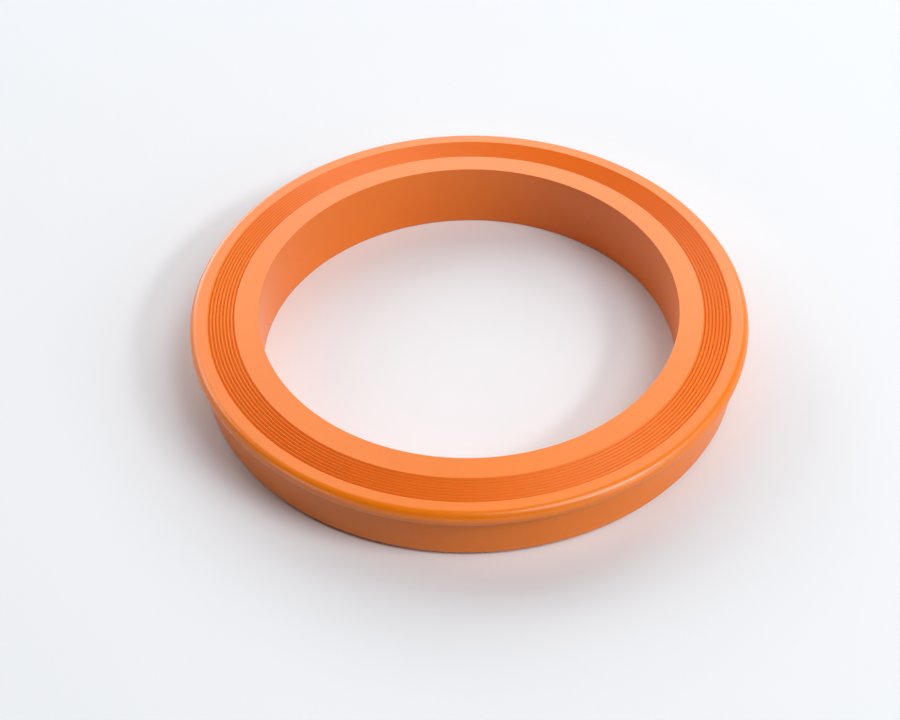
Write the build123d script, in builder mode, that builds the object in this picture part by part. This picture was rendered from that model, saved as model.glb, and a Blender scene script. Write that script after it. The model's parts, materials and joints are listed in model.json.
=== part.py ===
"""Union seal ring: one moulded elastomer ring with a bead at its rim and a serrated sealing face.

All lengths are millimetres and all angles are degrees. The ring's axis is +Z, the origin is the centre
of its bottom face, and the serrated face points up. The ring is one revolved section, drawn in the
XZ plane, where a point is (radius, height).
"""
import os
from math import cos, radians, sin, tan

from build123d import *

# Ring body
bore_diameter = 76.2
wall_thickness = 10.6       # from the bore to the plain outer wall
bore_height = 13.1          # height of the bore wall, the tallest part of the ring
foot_chamfer = 1.0          # lead-in at the outer bottom corner

# Sealing face, a shallow cone that falls away from the bore
face_fall_angle = 4.5       # below the horizontal
inner_land_width = 4.32     # plain land between the bore and the serrations
rim_land_width = 1.7        # plain land between the serrations and the bead
serration_count = 8         # V grooves side by side, cut square to the face
serration_flank_angle = 50  # of each flank, from the face

# Bead around the rim
bead_radius = 1.6
bead_overhang = 1.95        # how far the bead stands out from the outer wall
bead_round_end = 42         # below the horizontal, where the bead's round gives way to its underside
bead_underside_angle = 35   # of the cone from the round back to the outer wall, from the horizontal

bore_radius = bore_diameter / 2
wall_radius = bore_radius + wall_thickness
face_fall = radians(face_fall_angle)


def face_height(radius):
    """Height of the conical sealing face at a radius."""
    return bore_height - (radius - bore_radius) * tan(face_fall)


# The bead's circle, which the face runs into at a tangent
bead_centre_radius = wall_radius + bead_overhang - bead_radius
bead_start_angle = 90 - face_fall_angle
bead_start_radius = bead_centre_radius + bead_radius * sin(face_fall)
bead_centre_height = face_height(bead_start_radius) - bead_radius * cos(face_fall)

# Where the bead's round ends, and where its underside meets the outer wall
bead_end_radius = bead_centre_radius + bead_radius * cos(radians(bead_round_end))
bead_end_height = bead_centre_height - bead_radius * sin(radians(bead_round_end))
wall_top_height = bead_end_height - (bead_end_radius - wall_radius) * tan(radians(bead_underside_angle))

# The serrations fill the face between the two lands
serration_start = bore_radius + inner_land_width
serration_end = bead_start_radius - rim_land_width
serration_pitch = (serration_end - serration_start) / serration_count
serration_depth = serration_pitch / cos(face_fall) / 2 * tan(radians(serration_flank_angle))


def sealing_face_points():
    """The face from the bore's top edge to the bead, down and up through each V groove."""
    points = [(bore_radius, bore_height), (serration_start, face_height(serration_start))]
    for groove in range(serration_count):
        middle = serration_start + (groove + 0.5) * serration_pitch
        crest = serration_start + (groove + 1) * serration_pitch
        valley = (
            middle - serration_depth * sin(face_fall),
            face_height(middle) - serration_depth * cos(face_fall),
        )
        points.append(valley)
        points.append((crest, face_height(crest)))
    points.append((bead_start_radius, face_height(bead_start_radius)))
    return points


with BuildPart() as seal_ring:
    with BuildSketch(Plane.XZ):
        with BuildLine():
            face = Polyline(*sealing_face_points())
            bead = CenterArc(
                (bead_centre_radius, bead_centre_height),
                bead_radius,
                start_angle=bead_start_angle,
                arc_size=-(bead_start_angle + bead_round_end),
            )
            Polyline(
                bead @ 1,
                (wall_radius, wall_top_height),
                (wall_radius, foot_chamfer),
                (wall_radius - foot_chamfer, 0),
                (bore_radius, 0),
                face @ 0,
            )
        make_face()
    revolve(axis=Axis.Z)

seal_ring.part.label = "seal_ring"

os.makedirs("parts", exist_ok=True)
export_step(seal_ring.part, "parts/seal_ring.step")
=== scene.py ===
"""The union seal ring in its finish: orange moulded elastomer on a pale floor under soft studio light.

Blender works in metres, in the same frame as the solid: the ring's axis is +Z and its foot stands
on z = 0. Section dimensions are written in millimetres and turned into metres by MM.
"""
import json
from math import atan2, cos, hypot, pi, radians, sin, tan

import bpy
from mathutils import Matrix, Vector


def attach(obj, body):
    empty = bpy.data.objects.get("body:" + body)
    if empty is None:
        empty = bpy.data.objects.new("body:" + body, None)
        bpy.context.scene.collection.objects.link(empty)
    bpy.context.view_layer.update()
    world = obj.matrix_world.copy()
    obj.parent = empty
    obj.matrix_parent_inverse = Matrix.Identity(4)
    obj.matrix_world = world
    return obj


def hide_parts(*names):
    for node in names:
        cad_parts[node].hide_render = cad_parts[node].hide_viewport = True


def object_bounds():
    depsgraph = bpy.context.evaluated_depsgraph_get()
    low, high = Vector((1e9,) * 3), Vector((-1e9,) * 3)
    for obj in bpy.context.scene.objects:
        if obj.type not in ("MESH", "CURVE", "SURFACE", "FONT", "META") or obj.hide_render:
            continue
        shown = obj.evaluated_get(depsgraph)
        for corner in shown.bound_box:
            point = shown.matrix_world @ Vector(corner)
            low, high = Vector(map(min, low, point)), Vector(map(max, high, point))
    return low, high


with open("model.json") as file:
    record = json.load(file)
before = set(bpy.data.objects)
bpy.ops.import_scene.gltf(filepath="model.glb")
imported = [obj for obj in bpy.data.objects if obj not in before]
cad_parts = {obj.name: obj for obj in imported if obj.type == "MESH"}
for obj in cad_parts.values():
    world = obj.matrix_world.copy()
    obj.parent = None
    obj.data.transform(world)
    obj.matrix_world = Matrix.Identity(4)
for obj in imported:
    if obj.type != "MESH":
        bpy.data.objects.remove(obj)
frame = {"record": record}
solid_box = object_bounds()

MM = 0.001

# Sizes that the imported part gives
mounts = {mount["name"]: mount for mount in frame["record"]["mounts"]}
bore_radius = mounts["bore"]["dims"]["r_mm"]
wall_radius = mounts["outer_wall"]["dims"]["r_mm"]
rim_radius = solid_box[1].x / MM
ring_height = solid_box[1].z / MM

# Section of the ring, in millimetres and degrees
foot_chamfer = 1.0
face_fall_angle = 4.5
inner_land_width = 4.32
rim_land_width = 1.7
serration_count = 8
serration_flank_angle = 50  # from the face
bead_radius = 1.6
bead_round_end = 42         # below the horizontal
bead_underside_angle = 35   # from the horizontal

# Small radii that moulding leaves on the edges
bore_edge_radius = 0.06
foot_edge_radius = 0.30
wall_top_radius = 0.50
underside_edge_radius = 0.20
land_edge_radius = 0.05
crest_radius = 0.015
valley_radius = 0.015

# Fineness of the ring's mesh
segments_around = 600
bead_arc_step = 5           # degrees between two points of the bead's round
edge_arc_points = 5         # points round a small edge radius

# Camera, at the photograph's angle
image_width = 900
camera_focal_pixels = 2200
camera_sensor = 36          # millimetres
camera_pitch = 44.50        # degrees below the horizontal
camera_roll = -1.125
camera_distance = 407.1     # millimetres from the aim point
camera_aim = (-3.58, -1.10, 0.0)
camera_clip = (0.01, 20)    # metres

# Softboxes: name, azimuth and elevation in degrees, height in metres, power in watts
softboxes = [
    ("front_right_strip", 331, 41, 0.14, 4.0),
    ("front_right", 330, 30, 0.50, 2.0),
    ("front_right_low", 330, 10, 0.50, 1.5),
    ("front_high", 318, 60, 0.50, 4.5),
    ("right", 0, 30, 0.50, 1.5),
    ("back_right", 60, 30, 0.50, 2.5),
    ("back_right_high", 60, 52, 0.50, 1.0),
    ("back", 90, 30, 0.50, 2.0),
    ("back_high", 90, 52, 0.50, 1.0),
    ("back_left_low", 120, 10, 0.50, 3.5),
    ("back_left", 120, 30, 0.50, 1.5),
    ("back_left_high", 120, 52, 0.50, 1.0),
    ("left_back", 150, 30, 0.50, 3.0),
    ("front_left_low", 210, 10, 0.50, 1.5),
]
softbox_width = 0.50
softbox_distance = 1.2

# Elastomer
elastomer_ior = 1.58
cloud_scale = 60
cloud_detail = 3
cloud_band = (0.35, 0.65)
cloud_colours = ((0.900, 0.200, 0.0015, 1), (0.925, 0.210, 0.0025, 1))
roughness_band = (0.27, 0.33)
serration_roughness = 0.28  # more than on the smooth faces
# Painted shade: a darker colour multiplied into the bottoms of the grooves, standing in for the shade
# there
painted_valley_shade = (0.78, 0.76, 0.72, 1)
skin_scale = 4000
skin_detail = 2
skin_strength = 0.08
skin_depth = 0.02           # millimetres

# Floor and horizon
floor_half_width = 0.8      # metres; the softboxes light the floor up to its edge
floor_roughness = 0.9
floor_bounce_colour = (0.48, 0.49, 0.50, 1)
floor_seen_colour = (0.83, 0.85, 0.88, 1)
horizon_colour = (0.90, 0.92, 0.94, 1)
horizon_band = (8, 20)      # degrees above the floor, over which the pale band fades out


def face_height(radius):
    """Height of the conical sealing face at a radius."""
    return ring_height - (radius - bore_radius) * tan(radians(face_fall_angle))


def bead_circle():
    """Centre of the bead's circle, and the angle at which the conical face runs into it, in degrees."""
    start = 90 - face_fall_angle
    centre_radius = rim_radius - bead_radius
    start_height = face_height(centre_radius + bead_radius * cos(radians(start)))
    return centre_radius, start_height - bead_radius * sin(radians(start)), start


def serrated_radii():
    """Where the band of serrations starts and ends."""
    centre_radius, _, bead_start = bead_circle()
    bead_start_radius = centre_radius + bead_radius * cos(radians(bead_start))
    return bore_radius + inner_land_width, bead_start_radius - rim_land_width


def serrated_face():
    """Corners of the V grooves, from the rim land inwards, as (radius, height, edge radius)."""
    start, end = serrated_radii()
    fall = radians(face_fall_angle)
    pitch = (end - start) / serration_count
    depth = pitch / cos(fall) / 2 * tan(radians(serration_flank_angle))
    corners = [(end, face_height(end), land_edge_radius)]
    for groove in range(serration_count):
        middle = end - (groove + 0.5) * pitch
        valley = (middle - depth * sin(fall), face_height(middle) - depth * cos(fall), valley_radius)
        crest = end - (groove + 1) * pitch
        last = groove == serration_count - 1
        corners.append(valley)
        corners.append((crest, face_height(crest), land_edge_radius if last else crest_radius))
    return corners


def bead_arc(centre, start, end):
    """Points on the bead's circle as (radius, height, normal r, normal z); angles in degrees."""
    steps = round((end - start) / bead_arc_step)
    points = []
    for step in range(steps + 1):
        angle = radians(start + (end - start) * step / steps)
        out = (cos(angle), sin(angle))
        points.append((centre[0] + bead_radius * out[0], centre[1] + bead_radius * out[1], *out))
    return points


def direction(start, end):
    """The unit vector from one point of the section towards another."""
    length = hypot(end[0] - start[0], end[1] - start[1])
    return (end[0] - start[0]) / length, (end[1] - start[1]) / length


def rounded_corner(before, corner, after, radius):
    """The small arc that rounds a corner, as (radius, height, normal r, normal z)."""
    way_in = direction(before, corner)
    way_out = direction(corner, after)
    cross = way_in[0] * way_out[1] - way_in[1] * way_out[0]
    dot = way_in[0] * way_out[0] + way_in[1] * way_out[1]
    turn = atan2(cross, dot)
    side = 1 if turn > 0 else -1
    tangent = radius * tan(abs(turn) / 2)
    start = (corner[0] - way_in[0] * tangent, corner[1] - way_in[1] * tangent)
    centre = (start[0] - way_in[1] * radius * side, start[1] + way_in[0] * radius * side)
    first = atan2(-way_in[0], way_in[1])
    reach = side * radius
    points = []
    for step in range(edge_arc_points):
        angle = first + turn * step / (edge_arc_points - 1)
        normal = (cos(angle), sin(angle))
        points.append((centre[0] + reach * normal[0], centre[1] + reach * normal[1], *normal))
    return points


def rounded_run(before, corners, after):
    """Each corner of a run rounded by its own edge radius, on the way from one point to another."""
    stops = [before, *corners, after]
    points = []
    for index, corner in enumerate(corners):
        points += rounded_corner(stops[index], corner, stops[index + 2], corner[2])
    return points


def ring_section():
    """The ring's closed outline, anticlockwise from the foot, as (radius, height, normal r, normal z)."""
    bead_centre_radius, bead_centre_height, bead_start = bead_circle()
    bead_end_radius = bead_centre_radius + bead_radius * cos(radians(bead_round_end))
    bead_end_height = bead_centre_height - bead_radius * sin(radians(bead_round_end))
    wall_top = bead_end_height - (bead_end_radius - wall_radius) * tan(radians(bead_underside_angle))
    bead = bead_arc((bead_centre_radius, bead_centre_height), -bead_round_end, bead_start)
    below = [
        (bore_radius, 0, foot_edge_radius),
        (wall_radius - foot_chamfer, 0, foot_edge_radius),
        (wall_radius, foot_chamfer, foot_edge_radius),
        (wall_radius, wall_top, wall_top_radius),
        (bead_end_radius, bead_end_height, underside_edge_radius),
    ]
    above = serrated_face() + [(bore_radius, ring_height, bore_edge_radius)]
    return rounded_run(above[-1], below, bead[1]) + bead[1:] + rounded_run(bead[-1], above, below[0])


def revolved_mesh(name, outline):
    """The outline turned round the Z axis as a closed mesh that keeps the outline's own normals."""
    count = len(outline)
    vertices = []
    normals = []
    for segment in range(segments_around):
        angle = 2 * pi * segment / segments_around
        across = (cos(angle), sin(angle))
        for radius, height, normal_r, normal_z in outline:
            vertices.append((radius * across[0] * MM, radius * across[1] * MM, height * MM))
            normals.append((normal_r * across[0], normal_r * across[1], normal_z))
    faces = []
    for segment in range(segments_around):
        here = segment * count
        there = (segment + 1) % segments_around * count
        for point in range(count):
            after = (point + 1) % count
            faces.append((here + point, there + point, there + after, here + after))
    mesh = bpy.data.meshes.new(name)
    mesh.from_pydata(vertices, [], faces)
    mesh.validate()
    mesh.shade_smooth()
    mesh.normals_split_custom_set_from_vertices(normals)
    return mesh


def math_result(tree, operation, *values):
    """The result of a Math node whose inputs are given as numbers or sockets."""
    node = tree.nodes.new("ShaderNodeMath")
    node.operation = operation
    for socket, value in zip(node.inputs, values):
        if isinstance(value, bpy.types.NodeSocket):
            tree.links.new(value, socket)
        else:
            socket.default_value = value
    return node.outputs["Value"]


def mapped(tree, value, old_range, new_range, interpolation="LINEAR"):
    """A value carried from one range to another, and held at the ends."""
    node = tree.nodes.new("ShaderNodeMapRange")
    node.interpolation_type = interpolation
    tree.links.new(value, node.inputs["Value"])
    node.inputs["From Min"].default_value, node.inputs["From Max"].default_value = old_range
    node.inputs["To Min"].default_value, node.inputs["To Max"].default_value = new_range
    return node.outputs["Result"]


def noise(tree, place, scale, detail):
    """A cloudy pattern from 0 to 1 that stays with the object."""
    node = tree.nodes.new("ShaderNodeTexNoise")
    node.inputs["Scale"].default_value = scale
    node.inputs["Detail"].default_value = detail
    tree.links.new(place, node.inputs["Vector"])
    return node.outputs["Fac"]


def distance_from_axis(tree, place):
    """How far a point of the ring is from the Z axis."""
    flat = tree.nodes.new("ShaderNodeVectorMath")
    flat.operation = "MULTIPLY"
    flat.inputs[1].default_value = (1, 1, 0)
    tree.links.new(place, flat.inputs[0])
    length = tree.nodes.new("ShaderNodeVectorMath")
    length.operation = "LENGTH"
    tree.links.new(flat.outputs["Vector"], length.inputs[0])
    return length.outputs["Value"]


def groove_masks(tree, place):
    """Two masks, both told by the distance from the axis: the serrated band, and the bottoms of its
    grooves, where shade is painted.
    """
    start, end = (radius * MM for radius in serrated_radii())
    half_pitch = (end - start) / serration_count / 2
    from_axis = distance_from_axis(tree, place)
    band = math_result(tree, "COMPARE", from_axis, (start + end) / 2, (end - start) / 2)
    from_start = math_result(tree, "SUBTRACT", from_axis, start)
    from_crest = math_result(tree, "PINGPONG", from_start, half_pitch)
    valley = mapped(tree, from_crest, (half_pitch / 2, half_pitch), (0, 1), "SMOOTHSTEP")
    return band, math_result(tree, "MULTIPLY", valley, band)


def elastomer_material():
    """Orange moulded elastomer, semi-gloss and faintly cloudy, with a fine skin.

    The serrated band is duller than the smooth faces, and the bottoms of its grooves are darkened with
    painted shade.
    """
    material = bpy.data.materials.new("orange_elastomer")
    material.use_nodes = True
    tree = material.node_tree
    shader = tree.nodes["Principled BSDF"]
    shader.inputs["IOR"].default_value = elastomer_ior
    place = tree.nodes.new("ShaderNodeTexCoord").outputs["Object"]
    clouds = noise(tree, place, cloud_scale, cloud_detail)
    band, painted_shade_mask = groove_masks(tree, place)

    tint = tree.nodes.new("ShaderNodeValToRGB")
    for element, position, colour in zip(tint.color_ramp.elements, cloud_band, cloud_colours):
        element.position = position
        element.color = colour
    tree.links.new(clouds, tint.inputs["Fac"])
    # Painted shade, darkest at the bottoms of the grooves
    shade = tree.nodes.new("ShaderNodeMix")
    shade.data_type = "RGBA"
    shade.blend_type = "MULTIPLY"
    tree.links.new(painted_shade_mask, shade.inputs["Factor"])
    tree.links.new(tint.outputs["Color"], shade.inputs["A"])
    shade.inputs["B"].default_value = painted_valley_shade
    tree.links.new(shade.outputs["Result"], shader.inputs["Base Color"])

    polish = mapped(tree, clouds, (0, 1), roughness_band)
    roughness = math_result(tree, "MULTIPLY_ADD", band, serration_roughness, polish)
    tree.links.new(roughness, shader.inputs["Roughness"])

    bump = tree.nodes.new("ShaderNodeBump")
    bump.inputs["Strength"].default_value = skin_strength
    bump.inputs["Distance"].default_value = skin_depth * MM
    tree.links.new(noise(tree, place, skin_scale, skin_detail), bump.inputs["Height"])
    tree.links.new(bump.outputs["Normal"], shader.inputs["Normal"])
    return material


def make_ring():
    """The finished ring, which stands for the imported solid."""
    mesh = revolved_mesh("seal", ring_section())
    mesh.materials.append(elastomer_material())
    ring = bpy.data.objects.new("seal", mesh)
    bpy.context.scene.collection.objects.link(ring)
    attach(ring, "root")
    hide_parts("seal_ring")


def seen_rays(tree):
    """A socket that is 1 for a camera, glossy or transmission ray and 0 for any other."""
    path = tree.nodes.new("ShaderNodeLightPath")
    seen = math_result(tree, "MAXIMUM", path.outputs["Is Camera Ray"], path.outputs["Is Glossy Ray"])
    return math_result(tree, "MAXIMUM", seen, path.outputs["Is Transmission Ray"])


def floor_material():
    """Plain pale paint, paler where the camera or a reflection sees it, which still takes a shadow."""
    material = bpy.data.materials.new("pale_floor")
    material.use_nodes = True
    tree = material.node_tree
    shader = tree.nodes["Principled BSDF"]
    shader.inputs["Roughness"].default_value = floor_roughness
    shader.inputs["Specular IOR Level"].default_value = 0
    colour = tree.nodes.new("ShaderNodeMix")
    colour.data_type = "RGBA"
    tree.links.new(seen_rays(tree), colour.inputs["Factor"])
    colour.inputs["A"].default_value = floor_bounce_colour
    colour.inputs["B"].default_value = floor_seen_colour
    tree.links.new(colour.outputs["Result"], shader.inputs["Base Color"])
    return material


def make_floor():
    """The square floor that the ring stands on."""
    half = floor_half_width
    corners = [(-half, -half, 0), (half, -half, 0), (half, half, 0), (-half, half, 0)]
    mesh = bpy.data.meshes.new("floor")
    mesh.from_pydata(corners, [], [(0, 1, 2, 3)])
    mesh.materials.append(floor_material())
    floor = bpy.data.objects.new("floor", mesh)
    bpy.context.scene.collection.objects.link(floor)


def make_horizon():
    """A pale band beyond the floor for the camera and for reflections, with only softboxes overhead."""
    world = bpy.data.worlds.new("studio")
    bpy.context.scene.world = world
    world.use_nodes = True
    tree = world.node_tree
    split = tree.nodes.new("ShaderNodeSeparateXYZ")
    sky_direction = tree.nodes.new("ShaderNodeTexCoord").outputs["Generated"]
    tree.links.new(sky_direction, split.inputs["Vector"])
    heights = [sin(radians(elevation)) for elevation in horizon_band]
    fade = mapped(tree, split.outputs["Z"], heights, (1, 0), "SMOOTHSTEP")
    background = tree.nodes["Background"]
    background.inputs["Color"].default_value = horizon_colour
    tree.links.new(math_result(tree, "MULTIPLY", fade, seen_rays(tree)), background.inputs["Strength"])


def add_softbox(name, azimuth, elevation, height, power):
    """A rectangular lamp that looks at the ring; azimuth is measured from +X towards +Y."""
    lamp = bpy.data.lights.new(name, "AREA")
    lamp.shape = "RECTANGLE"
    lamp.size = softbox_width
    lamp.size_y = height
    lamp.energy = power
    lamp_object = bpy.data.objects.new(name, lamp)
    bpy.context.scene.collection.objects.link(lamp_object)
    around = radians(azimuth)
    up = radians(elevation)
    away = Vector((cos(around) * cos(up), sin(around) * cos(up), sin(up)))
    lamp_object.location = away * softbox_distance
    lamp_object.rotation_euler = away.to_track_quat("Z", "Y").to_euler()


def add_camera():
    """The camera at the photograph's angle."""
    data = bpy.data.cameras.new("camera")
    data.sensor_fit = "HORIZONTAL"
    data.sensor_width = camera_sensor
    data.lens = camera_sensor * camera_focal_pixels / image_width
    data.clip_start, data.clip_end = camera_clip
    camera = bpy.data.objects.new("camera", data)
    bpy.context.scene.collection.objects.link(camera)
    pitch = radians(camera_pitch)
    back = Vector((0, -cos(pitch), sin(pitch)))
    place = Matrix.Translation((Vector(camera_aim) + back * camera_distance) * MM)
    tilt = Matrix.Rotation(pi / 2 - pitch, 4, "X")
    roll = Matrix.Rotation(radians(camera_roll), 4, "Z")
    camera.matrix_world = place @ tilt @ roll
    bpy.context.scene.camera = camera


bpy.context.scene.view_settings.view_transform = "Standard"
add_camera()
make_ring()
make_floor()
make_horizon()
for softbox in softboxes:
    add_softbox(*softbox)
